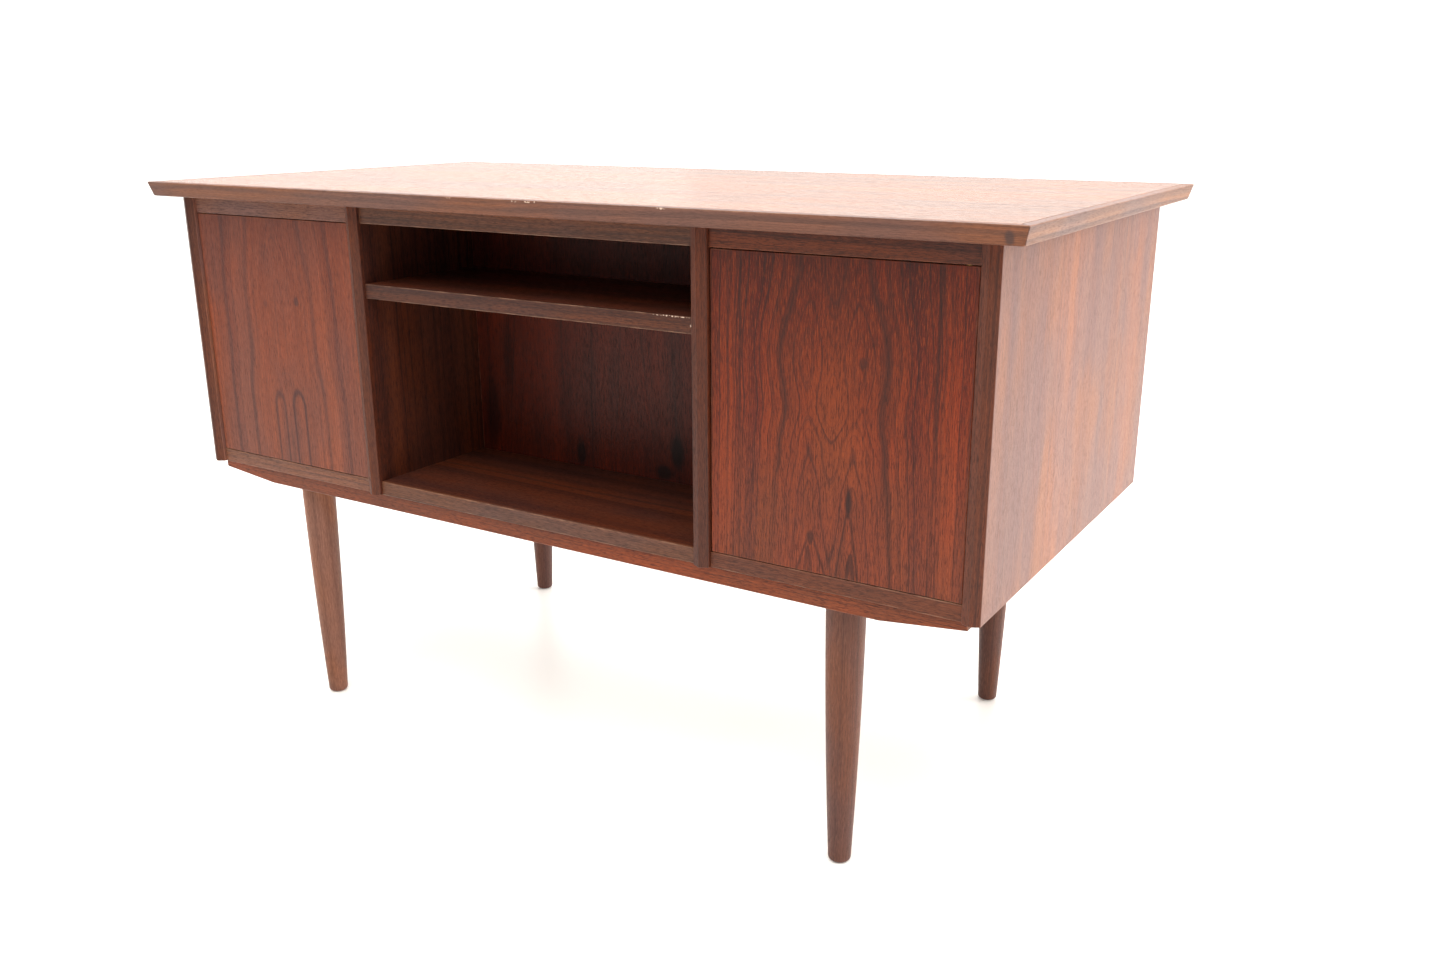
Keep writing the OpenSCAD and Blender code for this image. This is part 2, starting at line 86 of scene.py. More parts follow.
def make_camera():
    camera = bpy.data.objects.new("camera", bpy.data.cameras.new("camera"))
    camera.data.lens = CAMERA_LENS
    camera.data.sensor_width = SENSOR_WIDTH
    camera.data.clip_start = 0.05
    camera.location = CAMERA_PLACE
    turn = Matrix.Rotation(math.radians(CAMERA_HEADING), 4, "Z")
    tilt = Matrix.Rotation(math.radians(CAMERA_PITCH), 4, "X")
    roll = Matrix.Rotation(math.radians(CAMERA_ROLL), 4, "Z")
    camera.rotation_euler = (turn @ tilt @ roll).to_euler()
    bpy.context.scene.collection.objects.link(camera)
    bpy.context.scene.camera = camera


def area_light(name, place, aim, size, power, colour):
    light = bpy.data.objects.new(name, bpy.data.lights.new(name, "AREA"))
    light.data.shape = "RECTANGLE"
    light.data.size, light.data.size_y = size
    light.data.energy = power
    light.data.color = colour
    light.location = place
    light.rotation_euler = (Vector(aim) - Vector(place)).to_track_quat("-Z", "Y").to_euler()
    bpy.context.scene.collection.objects.link(light)


BRIGHT_SIDE = (-0.25, 0.91, 0.32)  # direction of the brightest part of the room
DIM_LEVEL = 0.25  # strength of the room's light on the opposite side
BRIGHT_LEVEL = 1.95
ROOM_WHITE = (1.0, 0.99, 0.975, 1)
WINDOW_WHITE = (1.0, 0.98, 0.96)
LAMP_WHITE = (1.0, 0.99, 0.97)


def make_light():
    """Four soft lights in a room that is brightest behind the desk and looks white to the camera."""
    world = bpy.data.worlds.new("studio")
    world.use_nodes = True
    tree = world.node_tree
    background = tree.nodes["Background"]
    background.inputs["Color"].default_value = ROOM_WHITE
    direction = tree.nodes.new("ShaderNodeTexCoord").outputs["Generated"]
    toward = tree.nodes.new("ShaderNodeVectorMath")
    toward.operation = "DOT_PRODUCT"
    toward.inputs[1].default_value = BRIGHT_SIDE
    tree.links.new(direction, toward.inputs[0])
    level = tree.nodes.new("ShaderNodeMapRange")
    level.inputs["From Min"].default_value = -1
    level.inputs["To Min"].default_value = DIM_LEVEL
    level.inputs["To Max"].default_value = BRIGHT_LEVEL
    tree.links.new(toward.outputs["Value"], level.inputs["Value"])
    seen = tree.nodes.new("ShaderNodeMath")
    seen.operation = "MAXIMUM"
    tree.links.new(level.outputs["Result"], seen.inputs[0])
    tree.links.new(tree.nodes.new("ShaderNodeLightPath").outputs["Is Camera Ray"], seen.inputs[1])
    tree.links.new(seen.outputs[0], background.inputs["Strength"])
    bpy.context.scene.world = world
    desk = (0, 0, 0.5)
    left_end = (-0.3, 0, 0.7)
    area_light("window", (3.4, 2.2, 1.9), desk, (2.4, 2.2), 98, WINDOW_WHITE)
    area_light("card", (-3.8, 3.2, 0.9), left_end, (3.0, 1.6), 8, LAMP_WHITE)
    area_light("ceiling", (0.2, 0.8, 3.2), desk, (3.6, 3.2), 84, LAMP_WHITE)
    area_light("front", (0.4, -1.5, 3.0), desk, (3.0, 1.6), 70, LAMP_WHITE)
    bpy.context.scene.view_settings.view_transform = "Standard"


# ---- Shader graphs ----


class Graph:
    """A material's nodes, made by short calls. Arguments are sockets or plain values."""

    def __init__(self, name):
        self.material = bpy.data.materials.new(name)
        self.material.use_nodes = True
        self.tree = self.material.node_tree
        self.tree.nodes.clear()

    def add(self, kind, inputs=None, **settings):
        node = self.tree.nodes.new(kind)
        for key, value in settings.items():
            setattr(node, key, value)
        for key, value in (inputs or {}).items():
            if isinstance(value, bpy.types.NodeSocket):
                self.tree.links.new(value, node.inputs[key])
            elif value is not None:
                node.inputs[key].default_value = value
        return node

    def math(self, operation, *values):
        return self.add("ShaderNodeMath", dict(enumerate(values)), operation=operation).outputs[0]

    def plus(self, a, b):
        return self.math("ADD", a, b)

    def minus(self, a, b):
        return self.math("SUBTRACT", a, b)

    def times(self, a, b):
        return self.math("MULTIPLY", a, b)

    def step(self, value, low, high, to_low=0.0, to_high=1.0):
        """Rises smoothly from to_low to to_high as value goes from low to high."""
        inputs = dict(enumerate((value, low, high, to_low, to_high)))
        return self.add("ShaderNodeMapRange", inputs, interpolation_type="SMOOTHSTEP").outputs[0]

    def noise(self, vector, detail=2.0, roughness=0.5):
        inputs = {"Vector": vector, "Scale": 1.0, "Detail": detail, "Roughness": roughness}
        return self.add("ShaderNodeTexNoise", inputs, noise_dimensions="3D").outputs["Fac"]

    def noise_line(self, value, scale, seed, detail=1.0):
        inputs = {"W": self.plus(self.times(value, scale), seed), "Scale": 1.0, "Detail": detail}
        return self.add("ShaderNodeTexNoise", inputs, noise_dimensions="1D").outputs["Fac"]

    def vector(self, x, y, z):
        return self.add("ShaderNodeCombineXYZ", {0: x, 1: y, 2: z}).outputs[0]

    def mix(self, factor, a, b, blend="MIX"):
        node = self.add("ShaderNodeMix", {0: factor, 6: a, 7: b}, data_type="RGBA", blend_type=blend)
        return node.outputs[2]

    def ramp(self, value, stops):
        """Stops are (place, grey) or (place, colour)."""
        node = self.add("ShaderNodeValToRGB", {0: value})
        node.color_ramp.interpolation = "EASE"
        elements = node.color_ramp.elements
        for index, (place, shade) in enumerate(stops):
            element = elements[index] if index < 2 else elements.new(place)
            element.position = place
            element.color = shade if hasattr(shade, "__len__") else (shade, shade, shade, 1)
        return node.outputs[0]

    def place(self):
        """The point's X, Y and Z in the row frame at rest."""
        coordinates = self.add("ShaderNodeTexCoord").outputs["Object"]
        return self.add("ShaderNodeSeparateXYZ", {0: coordinates}).outputs

    def finish(self, colour, roughness, height=None, depth=0.0, **constants):
        """The surface shader; depth is the relief in metres that height 1 stands for."""
        inputs = {"Base Color": colour, "Roughness": roughness}
        inputs.update({key.replace("_", " "): value for key, value in constants.items()})
        if height is not None:
            relief = {"Height": height, "Strength": 1.0, "Distance": depth}
            inputs["Normal"] = self.add("ShaderNodeBump", relief).outputs[0]
        shader = self.add("ShaderNodeBsdfPrincipled", inputs)
        self.add("ShaderNodeOutputMaterial", {0: shader.outputs[0]})
        return self.material


def rgb(red, green, blue):
    """A colour given as display values from 0 to 255."""
    return tuple(((v / 255 + 0.055) / 1.055) ** 2.4 for v in (red, green, blue)) + (1,)


# ---- Wood ----

# Each wood's colours: light wood, dark wood, dark lines, pores.
RED_TEAK = (rgb(131, 55, 18), rgb(95, 33, 16), rgb(47, 19, 14), rgb(38, 16, 11))
RAIL_TEAK = (rgb(132, 66, 34), rgb(97, 43, 27), rgb(49, 24, 19), rgb(40, 20, 15))
PINK_TEAK = (rgb(138, 76, 53), rgb(114, 59, 43), rgb(65, 35, 33), rgb(54, 29, 25))
TAN_TEAK = (rgb(153, 109, 91), rgb(141, 98, 85), rgb(108, 79, 76), rgb(92, 69, 65))
TOP_TEAK = (rgb(156, 106, 70), rgb(135, 89, 60), rgb(88, 58, 44), rgb(68, 45, 34))
RUST_TEAK = (rgb(105, 56, 36), rgb(79, 41, 28), rgb(46, 25, 20), rgb(39, 22, 18))
BROWN_TEAK = (rgb(111, 63, 42), rgb(84, 45, 32), rgb(49, 27, 22), rgb(41, 23, 19))
LEG_TEAK = (rgb(124, 82, 66), rgb(96, 62, 52), rgb(58, 39, 37), rgb(50, 33, 31))
GREY_TEAK = (rgb(131, 88, 69), rgb(104, 71, 58), rgb(68, 47, 43), rgb(58, 40, 36))
# Rail teak made lighter and greyer by a painted reflection, for the left top rail.
PAINTED_REFLECTION_RAIL_TEAK = (rgb(139, 97, 82), rgb(111, 78, 68), rgb(72, 51, 49), rgb(61, 43, 41))
EDGE_TEAK = (rgb(117, 78, 60), rgb(91, 61, 49), rgb(57, 38, 34), rgb(48, 32, 27))
# Leg teak made lighter with painted light, for the front left leg.
PAINTED_LIGHT_LEG_TEAK = (rgb(157, 107, 82), rgb(124, 83, 65), rgb(78, 52, 46), rgb(65, 44, 37))
MAUVE_TEAK = (rgb(155, 118, 100), rgb(124, 92, 81), rgb(78, 58, 55), rgb(66, 50, 46))
# Brown teak darkened with painted shade, for the shelf's solid edge.
PAINTED_SHADE_EDGE_TEAK = (rgb(92, 55, 40), rgb(69, 39, 30), rgb(40, 23, 20), rgb(33, 19, 18))
DEEP_TEAK = (rgb(108, 58, 38), rgb(78, 41, 31), rgb(36, 22, 21), rgb(30, 20, 19))
BACK_TEAK = (rgb(102, 38, 19), rgb(84, 30, 17), rgb(33, 14, 12), rgb(27, 12, 10))
BEECH = (rgb(222, 186, 142), rgb(208, 168, 124), rgb(184, 142, 102), rgb(170, 124, 86))
PLYWOOD = (rgb(206, 170, 124), rgb(190, 152, 108), rgb(164, 126, 88), rgb(152, 114, 78))
ORANGE_TINT = rgb(255, 226, 190)
PURPLE_TINT = rgb(226, 222, 232)
PAINTED_SHADE_TINT = rgb(168, 114, 98)  # what a board's darkened end is multiplied by, as painted shade
# Worn arrises are mixed towards this colour, and so is a board's low end, as painted light.
WEAR_AND_PAINTED_LIGHT_TEAK = rgb(176, 132, 106)
CHIP = rgb(210, 182, 162)
ARCH_RISE = 2.0  # height of an arch's bend for each half width

# Details to the metre across and along the grain.
SLOW_WAVER = (7, 1.6)
QUICK_WAVER = (60, 9)
PATCHES = (9, 4.0)
CLOUDS = (16, 6)
DASHES = (1300, 120)
SPECKS = (2300, 260)
FIBRES = (1500, 14)


@dataclass(frozen=True)
class Wood:
    """One board's wood. Places are metres from the board's middle, across and along the grain.

    Dark lines, arches and spots end with their darkness, glows with their strength.
    """

    palette: tuple
    along: int
    across: int
    waver: float = 0.020  # slow wandering of the grain
    ripple: float = 0.0025  # quick wandering of the grain
    lean: float = 0.35  # how far the grain moves sideways through the thickness
    crowns: tuple = ()  # where cathedral figures stand across the board
    tip: float = 0.005  # how round their tips are
    join: float = 0.010  # how smoothly two of them meet
    profile: tuple = ()  # their half width: (share of the length from the low end, metres)
    reach: float = 0.10  # how far to the side they bend the grain
    streaks: tuple = ()  # dark lines that follow the figure: (distance, half width, darkness)
    lines: tuple = ()  # dark lines that run straight: (place across, half width, darkness)
    glows: tuple = ()  # lighter bands: (place across, half width, strength)
    spread: tuple = ()  # where the figure swells: (across, along, half width, half length, share)
    arches: tuple = ()  # dark arches: (place across, tip, half width, flare, darkness)
    arch_width: float = 0.0026  # half the thickness of an arch
    spots: tuple = ()  # dark flames and knots: (across, along, half width, half length, darkness)
    pales: tuple = ()  # pale patches, given as the spots are
    painted_light_and_shade: tuple = ()  # how far the low end is lightened with painted light and the high end darkened with painted shade
    broad: float = 24  # colour bands to the metre
    bands: float = 150  # rings to the metre
    fine: float = 560  # hair lines to the metre
    band_depth: float = 0.6
    fine_depth: float = 0.34
    pore_depth: float = 0.6
    fleck_depth: float = 0.35  # how bright the flecks between the pores are
    sheen_roughness: float = 0.33


def grain_axes(g, wood, low, high):
    """Distances from the board's middle: across, through and along the grain."""
    places = g.place()
    through = X + Y + Z - wood.along - wood.across
    middle = (Vector(low) + Vector(high)) / 2
    return [g.minus(places[axis], middle[axis]) for axis in (wood.across, through, wood.along)]


def stretched(g, axes, across, along, seed):
    """Places for a noise drawn out along the grain; across and along are details to the metre."""
    u, v, w = axes
    return g.vector(
        g.plus(g.times(u, across), seed * 3.7),
        g.plus(g.times(v, across), seed * 1.9),
        g.plus(g.times(w, along), seed * 5.3),
    )


def hump(g, value, centre, width):
    """1 at the centre, falling away softly on both sides."""
    share = g.math("DIVIDE", g.minus(value, centre), width)
    return g.math("EXPONENT", g.times(g.times(share, share), -1.0))


def patch_mask(g, bent, w, patch):
    """A soft oval: (across, along, half width, half length) and perhaps its strength."""
    across, along, half_width, half_length, *strength = patch
    oval = g.times(hump(g, bent, across, half_width), hump(g, w, along, half_length))
    return g.times(oval, strength[0]) if strength else oval


def line_mask(g, value, centre, half_width):
    """1 at the centre, falling to 0 at half_width."""
    return g.step(g.math("ABSOLUTE", g.minus(value, centre)), 0.0, half_width, 1.0, 0.0)


def bent_grain(g, wood, axes, seed):
    """The place across the board with the grain's own wandering in it."""
    slow = g.minus(g.noise(stretched(g, axes, *SLOW_WAVER, seed)), 0.5)
    quick = g.minus(g.noise(stretched(g, axes, *QUICK_WAVER, seed)), 0.5)
    wander = g.plus(g.times(slow, wood.waver), g.times(quick, wood.ripple))
    return g.plus(g.plus(axes[0], wander), g.times(axes[1], wood.lean))


def ring_field(g, wood, axes, bent, length):
    """A distance that stays the same all along each grain line."""
    if not wood.crowns:
        return bent
    w = axes[2]
    if wood.spread:
        swell = g.minus(1.0, patch_mask(g, bent, w, wood.spread))
        bent = g.plus(g.times(g.minus(bent, wood.spread[0]), swell), wood.spread[0])
    field = None
    for centre in wood.crowns:
        offset = g.minus(bent, centre)
        side = g.math("SQRT", g.plus(g.times(offset, offset), wood.tip**2))
        field = side if field is None else g.math("SMOOTH_MIN", field, side, wood.join)
    nearness = hump(g, field, 0.0, wood.reach)
    share = g.plus(g.math("DIVIDE", w, length), 0.5)
    half_width = g.ramp(share, wood.profile)
    return g.minus(field, g.times(half_width, nearness))


def arch_mask(g, bent, w, arch, thickness):
    """A thin arch with its tip up; flare is how fast its legs part below the bend."""
    centre, tip, half_width, flare = arch
    below = g.minus(tip - ARCH_RISE * half_width, w)
    rise = g.times(g.math("MINIMUM", below, 0.0), 1 / ARCH_RISE)
    offset = g.minus(bent, centre)
    reach = g.math("SQRT", g.plus(g.times(offset, offset), g.times(rise, rise)))
    opening = g.plus(g.times(g.math("MAXIMUM", below, 0.0), flare), half_width)
    return g.step(g.math("ABSOLUTE", g.minus(reach, opening)), 0.0, thickness, 1.0, 0.0)


def figure_marks(g, wood, bent, field, w, fade):
    """Masks of everything that is darker than the wood around it."""
    marks = []
    for centre, half_width, darkness in wood.streaks:
        marks.append(g.times(line_mask(g, field, centre, half_width), g.times(fade, darkness)))
    for centre, half_width, darkness in wood.lines:
        marks.append(g.times(line_mask(g, bent, centre, half_width), g.times(fade, darkness)))
    for *arch, darkness in wood.arches:
        marks.append(g.times(arch_mask(g, bent, w, arch, wood.arch_width), darkness))
    for spot in wood.spots:
        marks.append(g.times(g.step(patch_mask(g, bent, w, spot[:4]), 0.2, 0.8), spot[4]))
    return marks


def wood_surface(g, wood, low, high, seed):
    """Colour, roughness and relief of one wood."""
    light, dark, line, pore = wood.palette
    axes = grain_axes(g, wood, low, high)
    w = axes[2]
    bent = bent_grain(g, wood, axes, seed)
    field = ring_field(g, wood, axes, bent, high[wood.along] - low[wood.along])
    flow = (bent, axes[1], w)
    fade = g.step(g.noise(stretched(g, axes, *PATCHES, seed + 3), 1.0), 0.3, 0.65, 0.4, 1.0)
    cloud = g.noise(stretched(g, axes, *CLOUDS, seed + 6), 2.0)

    colour = g.mix(g.step(g.noise_line(field, wood.broad, seed, 2.0), 0.3, 0.7), light, dark)
    tint = g.mix(g.step(cloud, 0.35, 0.65), ORANGE_TINT, PURPLE_TINT)
    colour = g.mix(1.0, colour, tint, "MULTIPLY")
    for patch in wood.pales:
        colour = g.mix(patch_mask(g, bent, w, patch), colour, light)
    # Painted light lightens the low end and painted shade darkens the high end.
    if wood.painted_light_and_shade:
        painted_low_light, painted_high_shade = wood.painted_light_and_shade
        share = g.plus(g.math("DIVIDE", w, high[wood.along] - low[wood.along]), 0.5)
        colour = g.mix(g.step(share, 0.0, 0.6, painted_low_light, 0.0), colour, WEAR_AND_PAINTED_LIGHT_TEAK)
        colour = g.mix(g.step(share, 0.35, 1.0, 0.0, painted_high_shade), colour, PAINTED_SHADE_TINT, "MULTIPLY")
    for centre, half_width, strength in wood.glows:
        glow = g.times(line_mask(g, bent, centre, half_width), strength)
        colour = g.mix(glow, colour, ORANGE_TINT, "OVERLAY")
    dashes = g.noise(stretched(g, flow, *DASHES, seed + 5), 1.0)
    colour = g.mix(g.step(dashes, 0.32, 0.46, wood.fleck_depth, 0.0), colour, light)
    rings = g.step(g.noise_line(field, wood.bands, seed + 7, 2.0), 0.50, 0.72)
    hairs = g.step(g.noise_line(field, wood.fine, seed + 13), 0.48, 0.78)
    marks = [g.times(g.times(rings, fade), wood.band_depth), g.times(hairs, wood.fine_depth)]
    marks += figure_marks(g, wood, bent, field, w, fade)
    for mark in marks:
        colour = g.mix(mark, colour, line)

    specks = g.noise(stretched(g, flow, *SPECKS, seed + 11), 1.0)
    fibres = g.noise(stretched(g, flow, *FIBRES, seed + 9), 1.0)
    dash_mask = g.step(dashes, 0.52, 0.66)
    speck_mask = g.step(specks, 0.55, 0.68)
    pores = g.math("MAXIMUM", dash_mask, g.times(speck_mask, 0.8))
    colour = g.mix(g.times(pores, wood.pore_depth), colour, pore)
    normal = g.add("ShaderNodeTexCoord").outputs["Normal"]
    facing = g.add("ShaderNodeSeparateXYZ", {0: normal}).outputs[wood.along]
    end_grain = g.step(g.math("ABSOLUTE", facing), 0.75, 0.95, 0.0, 0.4)
    colour = g.mix(end_grain, colour, line)
    silk = g.step(fibres, 0.2, 0.8, 0.8, 1.2)
    colour = g.mix(1.0, colour, g.vector(silk, silk, silk), "MULTIPLY")

    roughness = g.plus(g.times(fibres, 0.14), wood.sheen_roughness)
    roughness = g.plus(roughness, g.times(pores, 0.14))
    height = g.minus(g.times(fibres, 0.3), pores)
    return colour, roughness, height


GRAIN_RELIEF = 0.05 * MM
WOOD_SPECULAR = 0.25
WEAR_WIDTH = 1.7 * MM  # how far wear reaches from an arris
EDGE_BLEND = 0.2 * MM  # half the width over which veneer gives way to a solid edge
WEAR_PATCHES = (40, 40)  # details to the metre
CHIP_CRUMBS = (420, 420)


def blended(g, mask, a, b):
    """a where the mask is 0 and b where it is 1."""
    return g.plus(g.times(g.minus(1.0, mask), a), g.times(mask, b))


def wear_mask(g, low, high, width):
    """1 along the arrises of a box, falling to 0 at width from them."""
    nearest = []
    for axis, place in enumerate(g.place()[:3]):
        to_low = g.math("ABSOLUTE", g.minus(place, low[axis]))
        to_high = g.math("ABSOLUTE", g.minus(place, high[axis]))
        nearest.append(g.math("MINIMUM", to_low, to_high))
    x, y, z = nearest
    second = g.math("MINIMUM", g.math("MAXIMUM", x, y), z)
    second = g.math("MAXIMUM", g.math("MINIMUM", x, y), second)
    return g.step(second, 0.0, width, 1.0, 0.0)


def wood_material(name, wood, low, high, seed, edge=None, wear=0.5, chips=()):
    """A board's material, with worn arrises.

    edge is (wood, axis, distance): the solid edge beyond that distance on both sides of the desk.
    Each chip is (middle, reach), both in the row frame.
    """
    g = Graph(name)
    colour, roughness, height = wood_surface(g, wood, low, high, seed)
    if edge:
        edge_wood, axis, distance = edge
        far = g.math("ABSOLUTE", g.place()[axis])
        mask = g.step(far, distance - EDGE_BLEND, distance + EDGE_BLEND)
        edge_colour, edge_roughness, edge_height = wood_surface(g, edge_wood, low, high, seed + 31)
        colour = g.mix(mask, colour, edge_colour)
        roughness = blended(g, mask, roughness, edge_roughness)
        height = blended(g, mask, height, edge_height)
    patches = g.noise(stretched(g, g.place()[:3], *WEAR_PATCHES, seed), 3.0)
    rubbed = g.times(wear_mask(g, low, high, WEAR_WIDTH), g.step(patches, 0.4, 0.68, 0.2, 1.0))
    colour = g.mix(g.times(rubbed, wear), colour, WEAR_AND_PAINTED_LIGHT_TEAK)
    roughness = g.plus(roughness, g.times(rubbed, 0.1))
    crumbs = g.step(g.noise(stretched(g, g.place()[:3], *CHIP_CRUMBS, seed + 2), 2.0), 0.5, 0.6)
    places = g.place()
    for middle, reach in chips:
        here = g.times(hump(g, places[X], middle[X], reach[X]), hump(g, places[Y], middle[Y], reach[Y]))
        here = g.times(here, hump(g, places[Z], middle[Z], reach[Z]))
        colour = g.mix(g.times(g.step(here, 0.3, 0.6), crumbs), colour, CHIP)
    return g.finish(colour, roughness, height, GRAIN_RELIEF, Specular_IOR_Level=WOOD_SPECULAR)


# ---- Metal and plastic ----

SCRATCH_RELIEF = 0.01 * MM
PLASTIC_RELIEF = 0.02 * MM
CLOUD_BROWN = rgb(96, 62, 40)
METAL_PATCHES = (120, 120)
SCRATCHES = (3000, 160)
PLASTIC_CLOUDS = (90, 90)
PLASTIC_GRAIN = (2500, 2500)


def metal_material(name, bright, dull, seed, roughness=0.28):
    """Metal that has dulled in patches, with fine scratches."""
    g = Graph(name)
    places = g.place()[:3]
    patches = g.noise(stretched(g, places, *METAL_PATCHES, seed), 4.0, 0.6)
    scratches = g.noise(stretched(g, places, *SCRATCHES, seed + 1), 2.0)
    dulled = g.step(patches, 0.38, 0.66)
    colour = g.mix(dulled, bright, dull)
    finish = g.plus(g.plus(roughness, g.times(dulled, 0.2)), g.times(scratches, 0.12))
    return g.finish(colour, finish, scratches, SCRATCH_RELIEF, Metallic=1.0)


def plastic_material(name, colour, seed):
    """Moulded plastic with a fine grain and faint clouds."""
    g = Graph(name)
    places = g.place()[:3]
    cloud = g.noise(stretched(g, places, *PLASTIC_CLOUDS, seed), 2.0)
    grain = g.noise(stretched(g, places, *PLASTIC_GRAIN, seed + 1), 1.0)
    shade = g.mix(g.step(cloud, 0.3, 0.7, 0.0, 0.3), colour, CLOUD_BROWN)
    return g.finish(shade, g.plus(g.times(grain, 0.12), 0.4), grain, PLASTIC_RELIEF)


# ---- Pieces made from CAD nodes ----

SHARP = math.radians(25)  # an edge that bends more than this is an arris
ALIGNED = 0.9999  # a flat face's normal has one share above this
WELD = 0.002 * MM
ARRIS_SEGMENTS = 3


def mesh_object(name, bm, body, slot, material):
    """Puts a finished mesh into the scene, riding on a body."""
    mesh = bpy.data.meshes.new(name)
    bm.to_mesh(mesh)
    bm.free()
    stale = mesh.attributes.get("custom_normal")
    if stale:
        mesh.attributes.remove(stale)
    mesh.materials.clear()
    mesh.materials.append(material)
    piece = bpy.data.objects.new(name, mesh)
    bpy.context.scene.collection.objects.link(piece)
    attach(piece, body)
    return piece


def node_mesh(node):
    """A CAD node's shape with its doubled corners joined."""
    bm = bmesh.new()
    bm.from_mesh(frame["nodes"][node].data)
    bmesh.ops.remove_doubles(bm, verts=bm.verts, dist=WELD)
    return bm


def stand_in(node, bm, material):
    """The finished piece that is seen in place of the CAD node."""
    body = frame["nodes"][node]["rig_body"]
    piece = mesh_object(node + "_finished", bm, body, SLOTS[node], material)
    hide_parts(node)
    return piece


def softened(node, material, radius, shortest=4 * MM, curved=False):
    """The node with its long arrises rounded; curved smooths its carved faces too."""
    bm = node_mesh(node)
    if curved:
        for face in bm.faces:
            face.smooth = max(abs(share) for share in face.normal) < ALIGNED
    arrises = [
        edge
        for edge in bm.edges
        if len(edge.link_faces) == 2
        and edge.is_convex
        and edge.calc_face_angle() > SHARP
        and edge.calc_length() > shortest
    ]
    rounded = bmesh.ops.bevel(
        bm, geom=arrises, offset=radius, segments=ARRIS_SEGMENTS, profile=0.5, affect="EDGES"
    )
    for face in rounded["faces"]:
        face.smooth = True
    return stand_in(node, bm, material)


def turned(node, material):
    """A round node with smooth sides and sharp ends."""
    bm = node_mesh(node)
    for face in bm.faces:
        face.smooth = True
    piece = stand_in(node, bm, material)
    piece.data.set_sharp_from_angle(angle=SHARP)
    return piece


def wooden(node, wood, seed, radius=0.8 * MM, shape=None, **finish):
    """A node made of wood, whose seed sets its grain apart from the others'.

    shape goes to softened(), and finish to wood_material().
    """
    low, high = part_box(node)
    material = wood_material(node + "_wood", wood, low, high, seed, **finish)
    return softened(node, material, radius, **(shape or {}))


# ---- Screws ----

SCREW_SIDES = 24

# Shares of a screw head's radius.
RIM = 0.96
RIM_DEPTH = 0.06
HEAD_DEPTH = 0.55
SHANK = 0.5
HALF_SLOT = 0.13
SLOT_DEPTH = 0.3
TIP_SHARE = 0.1  # the tip's radius as a share of the shank's

SLOT_TURN = (97, 61, 13)  # radians to the metre along X, Y and Z that turn each slot its own way


def loose_parts(bm):
    """The vertices of each separate solid in a mesh."""
    waiting = set(bm.verts)
    while waiting:
        part = set()
        front = [next(iter(waiting))]
        while front:
            vertex = front.pop()
            if vertex in part:
                continue
            part.add(vertex)
            front += [edge.other_vert(vertex) for edge in vertex.link_edges]
        waiting -= part
        yield part


def add_screw(bm, head, point, radius):
    """A countersunk slotted screw: head is the middle of its face, point is its tip."""
    axis = Vector(point) - Vector(head)
    length = axis.length
    shank = radius * SHANK
    outline = [
        (radius * RIM, 0.0),
        (radius, radius * RIM_DEPTH),
        (shank, radius * HEAD_DEPTH),
        (shank, length - shank),
        (shank * TIP_SHARE, length),
    ]
    rings = []
    for across, along in outline:
        ring = []
        for side in range(SCREW_SIDES):
            angle = 2 * math.pi * side / SCREW_SIDES
            ring.append(bm.verts.new((across * math.cos(angle), across * math.sin(angle), along)))
        rings.append(ring)
    faces = [bm.faces.new(list(reversed(rings[0]))), bm.faces.new(rings[-1])]
    for lower, upper in zip(rings, rings[1:]):
        for side in range(SCREW_SIDES):
            after = (side + 1) % SCREW_SIDES
            face = bm.faces.new((lower[side], lower[after], upper[after], upper[side]))
            face.smooth = True
            faces.append(face)
    half_slot = radius * HALF_SLOT
    face_edges = list(faces[0].edges)
    head_geometry = [faces[0]] + face_edges + list(faces[0].verts)
    for offset, normal in ((half_slot, (0, 1, 0)), (-half_slot, (0, -1, 0))):
        cut = bmesh.ops.bisect_plane(bm, geom=head_geometry, plane_co=(0, offset, 0), plane_no=normal)
        head_geometry = cut["geom"]
    slot_faces = [
        item
        for item in head_geometry
        if isinstance(item, bmesh.types.BMFace) and abs(item.calc_center_median().y) < half_slot
    ]
    sunk = bmesh.ops.extrude_face_region(bm, geom=slot_faces)["geom"]
    bmesh.ops.delete(bm, geom=slot_faces, context="FACES_ONLY")
    floor_verts = [item for item in sunk if isinstance(item, bmesh.types.BMVert)]
    bmesh.ops.translate(bm, vec=(0, 0, radius * SLOT_DEPTH), verts=floor_verts)
    screw_verts = set(floor_verts)
    for ring in rings:
        screw_verts.update(ring)
    for item in head_geometry:
        if isinstance(item, bmesh.types.BMVert):
            screw_verts.add(item)
    turn = axis.to_track_quat("Z", "X").to_matrix().to_4x4()
    angle = sum(place * rate for place, rate in zip(head, SLOT_TURN))
    spin = Matrix.Rotation(angle, 4, "Z")
    place = Matrix.Translation(head) @ turn @ spin
    bmesh.ops.transform(bm, matrix=place, verts=[vert for vert in screw_verts if vert.is_valid])


def make_case_screws(material):
    """One slotted screw wherever the CAD has one, with its head downwards."""
    cad = node_mesh("wood_screws")
    bm = bmesh.new()
    for part in loose_parts(cad):
        low = [min(vert.co[axis] for vert in part) for axis in (X, Y, Z)]
        high = [max(vert.co[axis] for vert in part) for axis in (X, Y, Z)]
        middle = [(a + b) / 2 for a, b in zip(low, high)]
        head = (middle[X], middle[Y], low[Z])
        point = (middle[X], middle[Y], high[Z])
        add_screw(bm, head, point, (high[X] - low[X]) / 2)
    cad.free()
    stand_in("wood_screws", bm, material)


